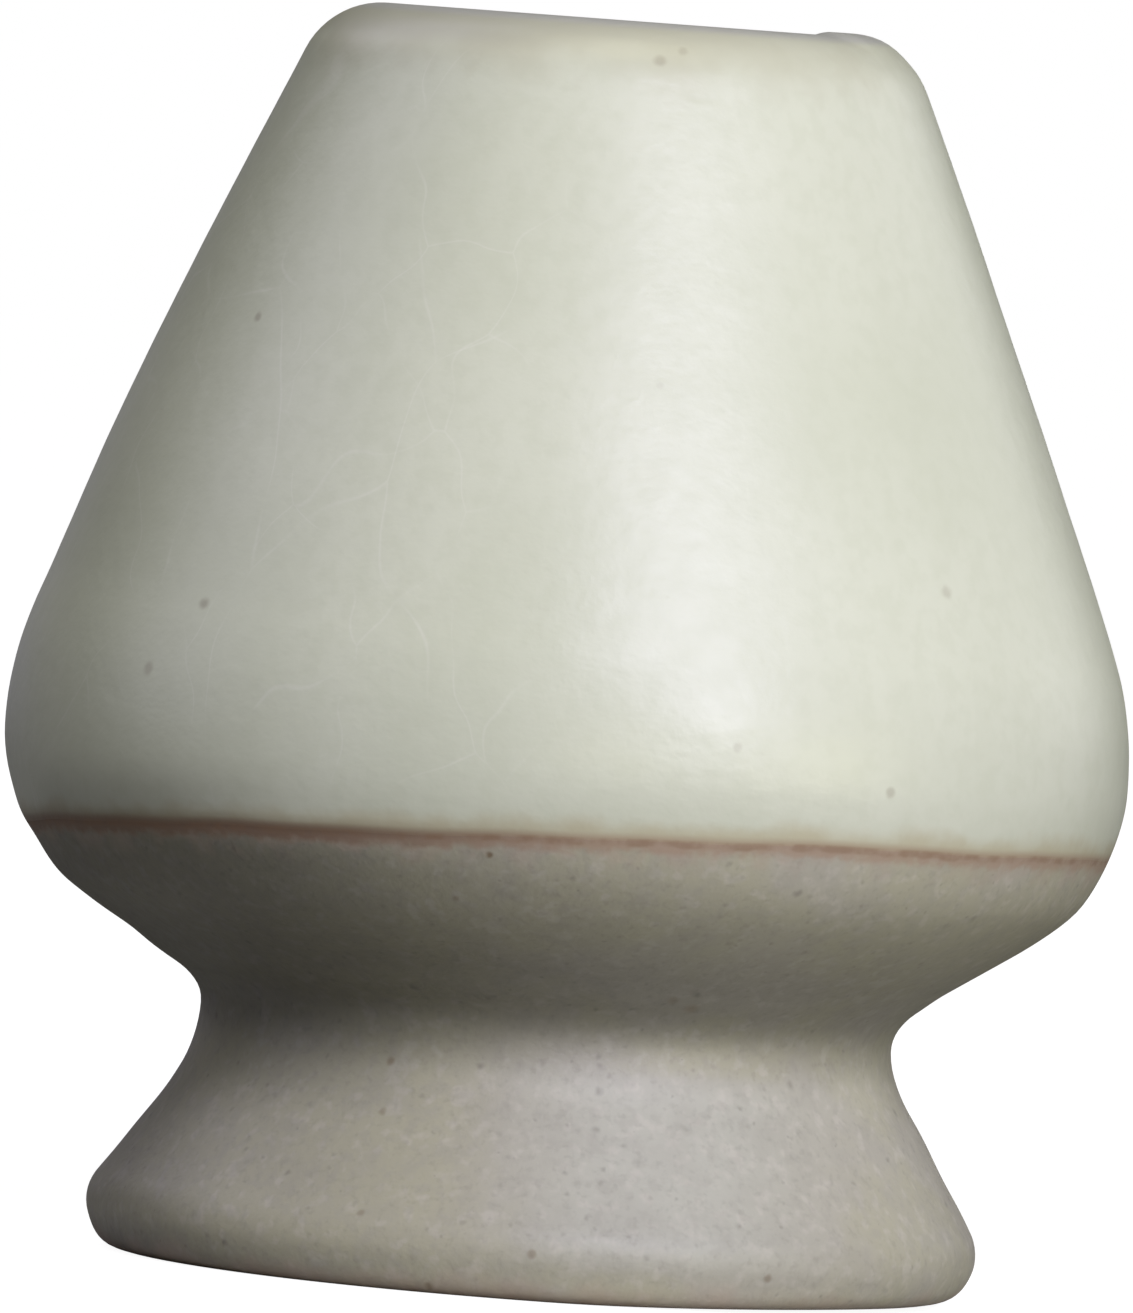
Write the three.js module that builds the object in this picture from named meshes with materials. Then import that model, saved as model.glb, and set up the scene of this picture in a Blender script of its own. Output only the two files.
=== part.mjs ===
// Tea whisk holder: a hollow stoneware bell on a flared foot, dipped mouth down in celadon glaze.
// Millimetres, +Z up. The origin is on the axis, at the table that the foot rests on.

import * as THREE from "three";

// Outside of the body, from the foot up. A radius is where two runs of the outline would meet,
// a height is that of the run above it, and a rounding is the radius of the arc that turns the corner.
const footRadius = 26.3;
const footRounding = 2.63;
const footHeight = 11.65;
const waistRadius = 18.74;
const waistLowerRounding = 6.3;
const waistHeight = 3.2;
const waistUpperRounding = 2.45;
const undercutHeight = 7.6;
const bellyRadius = 30.36;
const bellyLowerRounding = 10.7;
const bellyHeight = 9.35;
const bellyUpperRounding = 19.8;
const lowerShoulderHeight = 16.2;
const shoulderRadius = 24.4;
const shoulderBowRadius = 395;
const upperShoulderHeight = 20;
const lipRadius = 15.6;
const lipOuterRounding = 4.6;

// Inside of the body. Below the throat the hollow follows the outside, one wall away from it.
const mouthRadius = 10.8;
const lipInnerRounding = 1.7;
const mouthDepth = 4;
const throatRounding = 6;
const wall = 4.6;
const shoulderInnerRounding = 60;
const bellyUpperInnerRounding = 15;
const bellyLowerInnerRounding = 6;
const waistInnerRounding = 7;
const footOpeningRadius = 18.2;
const footInnerRounding = 0.8;

// The glaze coat, and the burnt iron edge where it thins out. The dip is a plane, tilted as the hand
// held the piece: its height is the one on the axis, and its azimuth is that of its high side.
const glazeThickness = 0.45;
const ironLineWidth = 0.5;
const dipHeight = 23.55;
const dipTilt = THREE.MathUtils.degToRad(3.2);
const dipAzimuth = THREE.MathUtils.degToRad(-50);

// How finely the round forms are cut into facets.
const chordError = 0.05;
const quarters = 4;
const quarterTurn = Math.PI / 2;
const up = new THREE.Vector3(0, 0, 1);
const searchSteps = 40;
// The stretch of the section that slides with the tilted dip, as a share of the belly's radius.
const slideReachShare = 0.22;
// The least room between two rings of points, as a share of the iron line's width.
const leastStepShare = 0.8;

// Heights of the outline's corners above the table.
const waistUpperLevel = footHeight + waistHeight;
const bellyLowerLevel = waistUpperLevel + undercutHeight;
const bellyUpperLevel = bellyLowerLevel + bellyHeight;
const shoulderLevel = bellyUpperLevel + lowerShoulderHeight;
const topLevel = shoulderLevel + upperShoulderHeight;

// Corners of the outline, as radius and height.
const footCorner = new THREE.Vector2(footRadius, 0);
const waistLowerCorner = new THREE.Vector2(waistRadius, footHeight);
const waistUpperCorner = new THREE.Vector2(waistRadius, waistUpperLevel);
const bellyLowerCorner = new THREE.Vector2(bellyRadius, bellyLowerLevel);
const bellyUpperCorner = new THREE.Vector2(bellyRadius, bellyUpperLevel);
const shoulderCorner = new THREE.Vector2(shoulderRadius, shoulderLevel);
const lipCorner = new THREE.Vector2(lipRadius, topLevel);
const mouthCorner = new THREE.Vector2(mouthRadius, topLevel);
const throatCorner = new THREE.Vector2(mouthRadius, topLevel - mouthDepth);
const footOpeningCorner = new THREE.Vector2(footOpeningRadius, 0);

// The corner of the hollow that lies one wall inside a corner of the outside.
function insideCorner(below, corner, above) {
  const arriving = corner.clone().sub(below).normalize();
  const leaving = above.clone().sub(corner).normalize();
  const inwards = new THREE.Vector2(-arriving.y, arriving.x);
  const mitre = new THREE.Vector2(-leaving.y, leaving.x).add(inwards).normalize();
  return corner.clone().addScaledVector(mitre, wall / mitre.dot(inwards));
}

const shoulderInside = insideCorner(bellyUpperCorner, shoulderCorner, lipCorner);
const bellyUpperInside = insideCorner(bellyLowerCorner, bellyUpperCorner, shoulderCorner);
const bellyLowerInside = insideCorner(waistUpperCorner, bellyLowerCorner, bellyUpperCorner);
const waistUpperInside = insideCorner(waistLowerCorner, waistUpperCorner, bellyLowerCorner);
const waistLowerInside = insideCorner(footCorner, waistLowerCorner, waistUpperCorner);

// The body's section as one loop of corners: up the outside, over the lip and down the inside.
// It starts and ends within the ring that the foot stands on.
const footRing = new THREE.Vector2((footOpeningRadius + footRadius - footRounding) / 2, 0);
const sectionCorners = [
  { at: footRing, rounding: 0 },
  { at: footCorner, rounding: footRounding },
  { at: waistLowerCorner, rounding: waistLowerRounding },
  { at: waistUpperCorner, rounding: waistUpperRounding },
  { at: bellyLowerCorner, rounding: bellyLowerRounding },
  { at: bellyUpperCorner, rounding: bellyUpperRounding },
  { at: shoulderCorner, rounding: shoulderBowRadius },
  { at: lipCorner, rounding: lipOuterRounding },
  { at: mouthCorner, rounding: lipInnerRounding },
  { at: throatCorner, rounding: throatRounding },
  { at: shoulderInside, rounding: shoulderInnerRounding },
  { at: bellyUpperInside, rounding: bellyUpperInnerRounding },
  { at: bellyLowerInside, rounding: bellyLowerInnerRounding },
  { at: waistUpperInside, rounding: waistInnerRounding },
  { at: waistLowerInside, rounding: waistInnerRounding },
  { at: footOpeningCorner, rounding: footInnerRounding },
  { at: footRing, rounding: 0 },
];

// How each corner turns. Its reach is how far before the corner the arc starts. Where two arcs ask for
// more than the run between them, both draw back alike.
function measureBends(corners) {
  const bends = corners.map(({ at, rounding }, i) => {
    if (rounding === 0) return { reach: 0, halfAngle: quarterTurn };
    const back = corners[i - 1].at.clone().sub(at);
    const ahead = corners[i + 1].at.clone().sub(at);
    const halfAngle = back.angleTo(ahead) / 2;
    return { reach: rounding / Math.tan(halfAngle), halfAngle };
  });
  const drawBacks = bends.map(() => 1);
  for (let i = 1; i < corners.length; i += 1) {
    const run = corners[i].at.distanceTo(corners[i - 1].at);
    const drawBack = Math.min(1, run / (bends[i - 1].reach + bends[i].reach));
    drawBacks[i - 1] = Math.min(drawBacks[i - 1], drawBack);
    drawBacks[i] = Math.min(drawBacks[i], drawBack);
  }
  return bends.map(({ reach, halfAngle }, i) => ({ reach: reach * drawBacks[i], halfAngle }));
}

// Facets that keep an arc's chords within the chord error.
function arcFacets(radius, angle) {
  const facetAngle = 2 * Math.acos(Math.max(0, 1 - chordError / radius));
  return Math.max(1, Math.ceil(angle / facetAngle));
}

// The section as a path, and the distances along it at which the surface has a ring of points.
function drawSection(corners) {
  const path = new THREE.CurvePath();
  const bends = measureBends(corners);
  const stations = [];
  let length = 0;
  let pen = corners[0].at;

  function add(curve, facets) {
    const curveLength = curve.getLength();
    for (let facet = 0; facet < facets; facet += 1) {
      stations.push(length + (curveLength * facet) / facets);
    }
    path.add(curve);
    length += curveLength;
    pen = curve.getPoint(1);
  }

  for (let i = 1; i < corners.length; i += 1) {
    const { at } = corners[i];
    const { reach, halfAngle } = bends[i];
    const back = corners[i - 1].at.clone().sub(at).normalize();
    const arcStart = at.clone().addScaledVector(back, reach);
    if (arcStart.distanceTo(pen) > chordError) add(new THREE.LineCurve(pen, arcStart), 1);
    if (reach > 0) {
      const ahead = corners[i + 1].at.clone().sub(at).normalize();
      const radius = reach * Math.tan(halfAngle);
      const centre = back.clone().add(ahead).setLength(radius / Math.sin(halfAngle)).add(at);
      const startAngle = arcStart.clone().sub(centre).angle();
      const endAngle = at.clone().addScaledVector(ahead, reach).sub(centre).angle();
      const clockwise = back.cross(ahead) > 0;
      const arc = new THREE.EllipseCurve(centre.x, centre.y, radius, radius, startAngle, endAngle, clockwise);
      add(arc, arcFacets(radius, Math.PI - 2 * halfAngle));
    }
  }
  return { path, stations, length };
}

const section = drawSection(sectionCorners);

function sectionPoint(distance) {
  return section.path.getPoint(distance / section.length);
}

// The highest ring of the section: the glaze runs from here down both sides to the dip.
const crest = section.stations.reduce((highest, distance) =>
  (sectionPoint(distance).y > sectionPoint(highest).y ? distance : highest));

// Where the tilted dip crosses the section on one meridian, between a bare end and the crest.
function dipCrossing(bareEnd, angle) {
  const slope = Math.tan(dipTilt) * Math.cos(angle - dipAzimuth);
  let bare = bareEnd;
  let glazed = crest;
  for (let step = 0; step < searchSteps; step += 1) {
    const middle = (bare + glazed) / 2;
    const point = sectionPoint(middle);
    if (point.y > dipHeight + slope * point.x) glazed = middle;
    else bare = middle;
  }
  return glazed;
}

// The iron lines, outside and inside, on a meridian where the dip stands at its height on the axis.
const levelAngle = dipAzimuth + quarterTurn;
const outerDip = dipCrossing(0, levelAngle);
const innerDip = dipCrossing(section.length, levelAngle);
const outerLine = { from: outerDip - ironLineWidth, to: outerDip };
const innerLine = { from: innerDip, to: innerDip + ironLineWidth };

// The rings of points: those of the section's arcs and runs, and both edges of each iron line.
const leastStep = leastStepShare * ironLineWidth;
const clearStations = section.stations.filter((distance) =>
  [outerLine, innerLine].every(({ from, to }) => distance < from - leastStep || distance > to + leastStep));
const stations = [...clearStations, outerLine.from, outerLine.to, innerLine.from, innerLine.to];
stations.sort((a, b) => a - b);

// How much of the dip's slide a station takes: all of it on the line, none at the slide's reach from it.
const slideReach = slideReachShare * bellyRadius;
function slideTaken(station, line) {
  const away = Math.max(line.from - station, station - line.to, 0);
  return Math.max(0, 1 - away / slideReach);
}

// The points of one meridian, station by station: on the surface, and one glaze thickness under it.
function drawMeridian(angle) {
  const outerSlide = dipCrossing(0, angle) - outerDip;
  const innerSlide = dipCrossing(section.length, angle) - innerDip;
  const surface = [];
  const under = [];
  for (const station of stations) {
    const slide = outerSlide * slideTaken(station, outerLine) + innerSlide * slideTaken(station, innerLine);
    const point = sectionPoint(station + slide);
    const tangent = section.path.getTangent((station + slide) / section.length);
    const inwards = new THREE.Vector2(-tangent.y, tangent.x);
    const deeper = point.clone().addScaledVector(inwards, glazeThickness);
    surface.push(new THREE.Vector3(point.x, 0, point.y).applyAxisAngle(up, angle));
    under.push(new THREE.Vector3(deeper.x, 0, deeper.y).applyAxisAngle(up, angle));
  }
  return { surface, under };
}

const meridianCount = quarters * arcFacets(bellyRadius, quarterTurn);
const meridians = Array.from({ length: meridianCount }, (_, i) =>
  drawMeridian((i * quarters * quarterTurn) / meridianCount));

// A closed solid round the axis, from one closed loop of points on each meridian. Each four-sided patch
// is cut along its shorter diagonal, so two solids that share a wall share its triangles too.
function solidOfLoops(loops) {
  const loopSize = loops[0].length;
  const triangles = [];
  loops.forEach((loop, i) => {
    const next = (i + 1) % loops.length;
    for (let k = 0; k < loopSize; k += 1) {
      const after = (k + 1) % loopSize;
      const a = i * loopSize + k;
      const b = next * loopSize + k;
      const c = next * loopSize + after;
      const d = i * loopSize + after;
      const rising = loop[k].distanceToSquared(loops[next][after]);
      const falling = loops[next][k].distanceToSquared(loop[after]);
      if (rising < falling) triangles.push(a, b, c, a, c, d);
      else triangles.push(a, b, d, b, c, d);
    }
  });
  const geometry = new THREE.BufferGeometry().setFromPoints(loops.flat());
  geometry.setIndex(triangles);
  geometry.computeVertexNormals();
  return geometry;
}

// A skin one glaze thickness deep, between two stations.
function skin(from, to) {
  const first = stations.indexOf(from);
  const last = stations.indexOf(to) + 1;
  return solidOfLoops(meridians.map(({ surface, under }) =>
    [...surface.slice(first, last), ...under.slice(first, last).reverse()]));
}

// The clay shows from the foot to the iron lines, and lies under the glaze between them.
function clayBody() {
  const first = stations.indexOf(outerLine.from);
  const last = stations.indexOf(innerLine.to) + 1;
  return solidOfLoops(meridians.map(({ surface, under }) =>
    [...surface.slice(0, first + 1), ...under.slice(first, last), ...surface.slice(last - 1)]));
}

// The parts and their finish

const stoneware = new THREE.MeshStandardMaterial({ color: "#9b958a", roughness: 0.85, metalness: 0 });
const celadon = new THREE.MeshStandardMaterial({ color: "#d0d2c4", roughness: 0.35, metalness: 0 });
const burntIron = new THREE.MeshStandardMaterial({ color: "#7d6450", roughness: 0.6, metalness: 0 });

function part(name, geometry, material) {
  const mesh = new THREE.Mesh(geometry, material.clone());
  mesh.name = name;
  return mesh;
}

const whiskHolder = new THREE.Group();
whiskHolder.name = "tea_whisk_holder";
whiskHolder.add(part("clay_body", clayBody(), stoneware));
whiskHolder.add(part("celadon_glaze", skin(outerLine.to, innerLine.from), celadon));
whiskHolder.add(part("outer_iron_line", skin(outerLine.from, outerLine.to), burntIron));
whiskHolder.add(part("inner_iron_line", skin(innerLine.from, innerLine.to), burntIron));

export default whiskHolder;
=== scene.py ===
"""Tea whisk holder: a stoneware bell on a flared foot, dipped mouth down in celadon glaze.

Every piece is a surface worked out on a grid. One direction of the grid runs along the section of the body,
from the ring it stands on, up the outside, over the lip and down the inside. The other runs round the axis.
Lengths are in metres and +Z is up, as in the frame.
"""

import functools
import math

import bpy
import numpy as np
from mathutils import Matrix, Vector


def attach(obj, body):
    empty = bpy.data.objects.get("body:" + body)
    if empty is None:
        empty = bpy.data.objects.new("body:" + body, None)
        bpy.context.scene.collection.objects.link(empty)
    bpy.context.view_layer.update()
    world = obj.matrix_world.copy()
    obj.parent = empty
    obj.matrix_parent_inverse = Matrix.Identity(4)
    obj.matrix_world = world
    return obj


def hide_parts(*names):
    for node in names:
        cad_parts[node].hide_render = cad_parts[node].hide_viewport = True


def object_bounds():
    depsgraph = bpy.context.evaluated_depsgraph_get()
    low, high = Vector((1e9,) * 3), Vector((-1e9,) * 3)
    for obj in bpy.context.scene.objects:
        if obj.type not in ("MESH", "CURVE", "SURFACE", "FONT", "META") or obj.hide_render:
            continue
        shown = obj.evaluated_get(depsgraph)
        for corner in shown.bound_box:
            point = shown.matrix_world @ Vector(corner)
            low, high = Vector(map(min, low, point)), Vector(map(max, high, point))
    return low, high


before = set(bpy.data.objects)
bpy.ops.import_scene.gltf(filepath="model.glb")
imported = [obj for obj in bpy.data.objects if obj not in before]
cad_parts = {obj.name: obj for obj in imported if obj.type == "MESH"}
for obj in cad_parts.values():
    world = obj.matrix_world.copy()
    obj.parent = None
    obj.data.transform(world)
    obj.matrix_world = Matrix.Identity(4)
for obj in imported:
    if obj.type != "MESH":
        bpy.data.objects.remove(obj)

bl_info = {
    "name": "Tea whisk holder",
    "version": (1, 0, 0),
    "blender": (4, 5, 0),
    "location": "3D View > Sidebar > Whisk holder",
    "description": "Builds a celadon glazed stoneware tea whisk holder and its studio",
    "category": "Add Mesh",
}

CAD_LOW, CAD_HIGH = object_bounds()
MM = 0.001


def linear(hex_colour):
    """An sRGB colour such as #A09A8E as linear red, green, blue and alpha: each share v of full becomes
    v / 12.92 where dark, and ((v + 0.055) / 1.055) to the power 2.4 elsewhere."""
    shares = [int(hex_colour[i:i + 2], 16) / 255 for i in (1, 3, 5)]
    return (*(v / 12.92 if v <= 0.04045 else ((v + 0.055) / 1.055) ** 2.4 for v in shares), 1.0)


def colour_property(name, description, hex_colour):
    """A colour that the panel shows as a swatch."""
    return bpy.props.FloatVectorProperty(
        name=name, description=description, default=linear(hex_colour), size=4, min=0, max=1, subtype="COLOR")


def length_property(name, description, metres, **limits):
    """A length that the panel shows in the scene's own unit."""
    return bpy.props.FloatProperty(
        name=name, description=description, default=metres, unit="LENGTH", **limits)


class HolderShape(bpy.types.PropertyGroup):
    """Outline of the clay body. Radii and heights are those of its corners before they are rounded"""

    height: length_property("Height", "From the table to the lip", CAD_HIGH.z, min=0)
    foot_radius: length_property("Foot radius", "Where the flank meets the table", 26.3 * MM)
    foot_rounding: length_property("Foot rounding", "Arc at the foot's edge", 2.63 * MM)
    foot_height: length_property("Foot height", "From the table to the waist", 11.65 * MM)
    waist_radius: length_property("Waist radius", "At the narrow neck", 18.74 * MM)
    waist_lower_rounding: length_property("Waist lower rounding", "Arc from the foot into the neck", 6.3 * MM)
    waist_level: length_property("Waist level", "Top of the neck", 14.85 * MM)
    waist_upper_rounding: length_property(
        "Waist upper rounding", "Arc from the neck out to the bell", 2.45 * MM)
    belly_radius: length_property("Belly radius", "The widest radius", 30.36 * MM)
    belly_lower_level: length_property("Belly lower level", "Lower corner of the belly", 22.45 * MM)
    belly_lower_rounding: length_property("Belly lower rounding", "Arc under the belly", 10.7 * MM)
    belly_upper_level: length_property("Belly upper level", "Upper corner of the belly", 31.8 * MM)
    belly_upper_rounding: length_property("Belly upper rounding", "Arc over the belly", 19.8 * MM)
    shoulder_radius: length_property("Shoulder radius", "Half way up the bell", 24.4 * MM)
    shoulder_level: length_property("Shoulder level", "Half way up the bell", 48.0 * MM)
    shoulder_bow: length_property("Shoulder bow", "Radius of the bell's slight outward bow", 395 * MM)
    lip_radius: length_property("Lip radius", "Outer corner of the lip", 15.6 * MM)
    lip_outer_rounding: length_property("Lip outer rounding", "Outer arc of the lip", 4.6 * MM)
    mouth_radius: length_property("Mouth radius", "Bore of the mouth", 10.8 * MM)
    lip_inner_rounding: length_property("Lip inner rounding", "Inner arc of the lip", 1.7 * MM)
    mouth_depth: length_property("Mouth depth", "From the lip to the throat", 4 * MM)
    throat_rounding: length_property("Throat rounding", "Arc from the bore out to the bell", 6 * MM)
    wall: length_property("Wall", "Thickness of the body below the throat", 4.6 * MM)
    inner_shoulder_rounding: length_property("Inner shoulder rounding", "Arc inside the shoulder", 60 * MM)
    inner_belly_rounding: length_property("Inner belly rounding", "Arc inside the belly", 15 * MM)
    inner_undercut_rounding: length_property("Inner undercut rounding", "Arc inside, under the belly", 6 * MM)
    inner_waist_rounding: length_property("Inner waist rounding", "Arcs inside the neck", 7 * MM)
    foot_opening: length_property("Foot opening", "Inner radius of the ring it stands on", 18.2 * MM)
    foot_inner_rounding: length_property("Foot inner rounding", "Arc at the ring's inner edge", 0.8 * MM)


class HolderGlaze(bpy.types.PropertyGroup):
    """The dip: how thick the glaze is and where it ends"""

    thickness: length_property("Thickness", "Depth of the fired glaze", 0.45 * MM, min=0)
    line_width: length_property("Iron line", "Width of the burnt edge", 0.5 * MM, min=0)
    dip_height: length_property("Dip height", "Height of the dip on the axis", 23.55 * MM)
    dip_tilt: bpy.props.FloatProperty(
        name="Dip tilt", description="Tilt of the dip from level", default=math.radians(3.2),
        subtype="ANGLE", unit="ROTATION")
    dip_azimuth: bpy.props.FloatProperty(
        name="Dip azimuth", description="Side on which the dip stands highest", default=math.radians(-50),
        subtype="ANGLE", unit="ROTATION")
    wander: length_property("Wander", "How far the edge strays up and down", 0.12 * MM)
    edge_sink: length_property("Edge sink", "How far the coat thins at its edge", 0.1 * MM)
    edge_reach: length_property("Edge reach", "Width of the thinning edge", 3.5 * MM)


class HolderHand(bpy.types.PropertyGroup):
    """Where the form strays from a true turned one"""

    undercut_lean: length_property("Undercut lean", "Shift of the underside away from +X", 0.43 * MM)
    strays: bpy.props.FloatProperty(
        name="Strays", description="How much of each bump in the outline is kept", default=1, min=0,
        subtype="FACTOR")
    heel_wear: length_property("Heel wear", "How far the foot's edge is worn up on its +X side", 0.3 * MM)
    heel_sharpness: length_property(
        "Heel sharpness", "How far the foot's rounding is filled out at the table", 0.8 * MM)
    lip_swelling: length_property("Lip swelling", "Rise of the lip on its +X side", 0.2 * MM)
    throwing_ridge: length_property("Throwing ridge", "Depth of the soft ridges left by turning", 0.006 * MM)


class HolderColours(bpy.types.PropertyGroup):
    """Colours of the fired clay and glaze, and of the painted shade and painted sheen laid over them"""

    glaze: colour_property("Glaze", "Body of the celadon", "#D3D7C4")
    # Also laid low on the left as painted shade.
    glaze_deep_and_shade: colour_property("Glaze, deep", "Celadon where it lies thicker", "#C7CCB6")
    glaze_lip: colour_property("Glaze, lip", "Celadon thinned over the lip", "#C0C0AA")
    glaze_edge: colour_property("Glaze, edge", "Celadon thinning out above the iron line", "#BFBB9F")
    lip_crest: colour_property("Lip crest", "Where the glaze has run thinnest, on top of the lip", "#B8B9B4")
    craze: colour_property("Crazing", "Fine pale crackle in the glaze", "#E4E5DA")
    iron: colour_property("Iron line", "Burnt edge of the glaze", "#A28A74")
    iron_dark: colour_property("Iron line, dark", "Hair line where the glaze ends", "#84684E")
    iron_shade: colour_property("Iron line, shade", "The line where it lies away from the light", "#665040")
    flash: colour_property("Flash", "Pink blush of the clay beside the glaze", "#B09A8C")
    clay: colour_property("Clay", "Bare stoneware", "#B0AD9D")
    # Painted shade: this colour is multiplied in wherever clay or glaze is darkened for shade, not only at
    # the neck.
    neck: colour_property("Neck", "What clay and glaze are multiplied by where they lie in shade", "#DCDCDF")
    clay_light: colour_property("Clay, light", "Palest grains of the stoneware", "#C8C4B7")
    # Painted sheen: the key light's cool, broad highlight on the front of the foot.
    clay_front_sheen: colour_property("Clay, front", "Cooler, paler clay on the front of the foot", "#B5B5A7")
    clay_warm: colour_property("Clay, warm", "Yellower patches of the stoneware", "#B0AE91")
    clay_shade: colour_property("Clay, shade", "Duller patches of the stoneware", "#A29F93")
    clay_grit: colour_property("Clay grit", "Soft dark grains in the stoneware", "#7C786E")
    clay_edge: colour_property("Clay edge", "Pink blush at the edge of the foot", "#B29D8D")
    clay_toast: colour_property("Clay, toasted", "Brown rim that the foot stands on", "#8C7664")
    fleck: colour_property("Iron fleck", "Iron spots burnt through clay and glaze", "#675034")


class HolderStage(bpy.types.PropertyGroup):
    """Camera, lights and floor"""

    camera_distance: length_property("Camera distance", "From the axis", 1.112)
    camera_height: length_property("Camera height", "Level with the lip, which is seen edge-on", 68 * MM)
    camera_roll: bpy.props.FloatProperty(
        name="Camera roll", description="How far the holder leans clockwise in the picture",
        default=math.radians(4.26), subtype="ANGLE", unit="ROTATION")
    framed_height: length_property("Framed height", "Height that the picture takes in at the axis", 70.9 * MM)
    aim_side: length_property("Aim, sideways", "Where the middle of the picture looks", -0.346 * MM)
    aim_height: length_property("Aim, height", "Where the middle of the picture looks", 33.52 * MM)
    light_distance: length_property("Light distance", "From the holder's middle to each soft box", 0.8)
    brightness: bpy.props.FloatProperty(
        name="Brightness", description="Multiplies the power of every soft box", default=1, min=0,
        subtype="FACTOR")
    card: colour_property("Card", "Card under the holder, as it lights the foot", "#A6A6A3")
    table: colour_property("Table", "Table beyond the card, as it lights the holder", "#6C6C6B")


# The grid: meridians, the section's own fine step, and the rows' steps outside, inside, in arcs and beside
# the iron lines. The rows within the slide's reach of a line move with the tilted dip.
ROUND = 360
FINE_STEP = 0.02 * MM
BEND_POINTS = 25
OUTSIDE_STEP = 0.48 * MM
INSIDE_STEP = 0.85 * MM
ARC_STEP = math.radians(7)
LINE_STEP = 0.1 * MM
LINE_GROWTH = 0.25
SLIDE_REACH = 6.7 * MM
HIDDEN_ROWS = 36
TINY = 1e-12

# The hand: where the underside's lean sets in and ends, where the lip swells, where the heel is worn, and
# where its rounding is filled out. Sides go from -1 at -X to 1 at +X. Then the two pitches of the ridges.
LEAN_START = (15 * MM, 16.9 * MM)
LEAN_END = (19.4 * MM, 22.2 * MM)
SWOLLEN_HEIGHTS = (66.7 * MM, 67.9 * MM)
SWOLLEN_SIDES = (0.86, 0.92)
WORN_TOP = 2.5 * MM
WORN_RADII = (18.5 * MM, 21 * MM)
WORN_SIDES = (0.05, 0.85)
FILLED_TOP = 1.8 * MM
FILLED_RADII = (19.2 * MM, 21.4 * MM)
UNFILLED_SHARE = 0.35
UNFILLED_SIDES = (0.5, 1)
RIDGE_PITCH = 3.7 * MM
RIDGE_BEAT = 11 * MM

# Bumps in the outline, in millimetres: middle height, width, and reach outwards at -X and at +X.
STRAYS = (
    (53, 5, 0, -0.08),
    (36, 6, -0.22, 0.22),
    (22.9, 1.2, 0.17, 0),
    (21.1, 1.8, 0.05, 0.1),
    (18.6, 1.6, 0.14, 0.14),
    (17.2, 0.8, -0.2, 0),
    (16.2, 1.7, 0.18, 0.18),
    (15.4, 0.8, 0.2, 0),
    (11, 2.2, 0.14, 0.14),
    (9, 2.8, -0.34, 0.34),
    (5.1, 1.5, -0.12, 0.14),
)

# Iron spots: degrees to the right of the front, height and width in millimetres, and strength.
GLAZE_FLECKS = (
    (-51.7, 50.8, 0.68, 0.36),
    (-43.1, 35.6, 0.85, 0.38),
    (-48.5, 31.9, 0.9, 0.3),
    (44.6, 39.0, 0.9, 0.2),
    (34.6, 28.4, 0.7, 0.28),
    (7.9, 66.0, 0.85, 0.26),
    (12.5, 66.6, 0.7, 0.18),
    (17.3, 30.3, 0.6, 0.18),
    (8.5, 48.9, 0.5, 0.1),
)
CLAY_FLECKS = (
    (-7.1, 23.7, 0.5, 0.7),
    (-10.8, 21.2, 0.45, 0.35),
    (-25.2, 11.9, 0.6, 0.45),
    (-24.3, 9.3, 0.6, 0.4),
    (-22.5, 4.0, 0.6, 0.35),
    (0.4, 2.6, 0.6, 0.4),
    (32.1, 2.0, 0.6, 0.45),
    (-12.7, 0.6, 0.8, 0.7),
    (22.0, 15.9, 1.0, 0.3),
    (18.5, 16.3, 0.8, 0.25),
)

# Soft boxes: name, tint, degrees to the right of the front, degrees above level, width and height in metres,
# and watts.
COOL, WARM, PLAIN = "#E8E4FF", "#FFFCD2", "#FFFFFF"
SOFT_BOXES = (
    ("key_light", COOL, 22, 36.5, 0.42, 0.12, 2.85),
    ("key_side_light", COOL, 48, 36, 0.21, 0.11, 0.46),
    ("front_light", COOL, 31, 19, 0.17, 0.11, 1.95),
    ("low_front_light", PLAIN, 30, 10, 0.22, 0.12, 0.75),
    ("low_middle_light", WARM, 10, 4, 0.3, 0.11, 0.5),
    ("low_light", WARM, 44, 3, 0.17, 0.11, 0.45),
    ("low_right_light", WARM, 58, 3, 0.2, 0.11, 0.64),
    ("rear_right_light", PLAIN, 128, 18, 0.4, 0.4, 0.54),
    ("top_light", WARM, 0, 85, 0.4, 0.4, 1.42),
    ("left_front_light", WARM, -40, 45, 0.5, 0.4, 0.38),
    ("left_light", COOL, -88, 22, 0.4, 0.5, 0.72),
    ("rear_left_low_light", COOL, -158, 2, 0.4, 0.16, 0.05),
    ("rear_left_light", COOL, -128, 46, 0.4, 0.5, 0.92),
)
REAR_FILL = ("rear_fill_light", PLAIN, 180, 30, 0.5, 0.4, 1.0)

# The floor, in metres and then in millimetres from the axis: its half width, where the card gives way to the
# table, and where what the camera sees of it goes from nearly white to white.
FLOOR_REACH = 3.0
CARD_EDGE = (34, 50)
WHITE = {"From Min": 60, "From Max": 200, "To Min": 0.94, "To Max": 1.0}

# The camera's sensor, in millimetres.
SENSOR_WIDTH = 36


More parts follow.
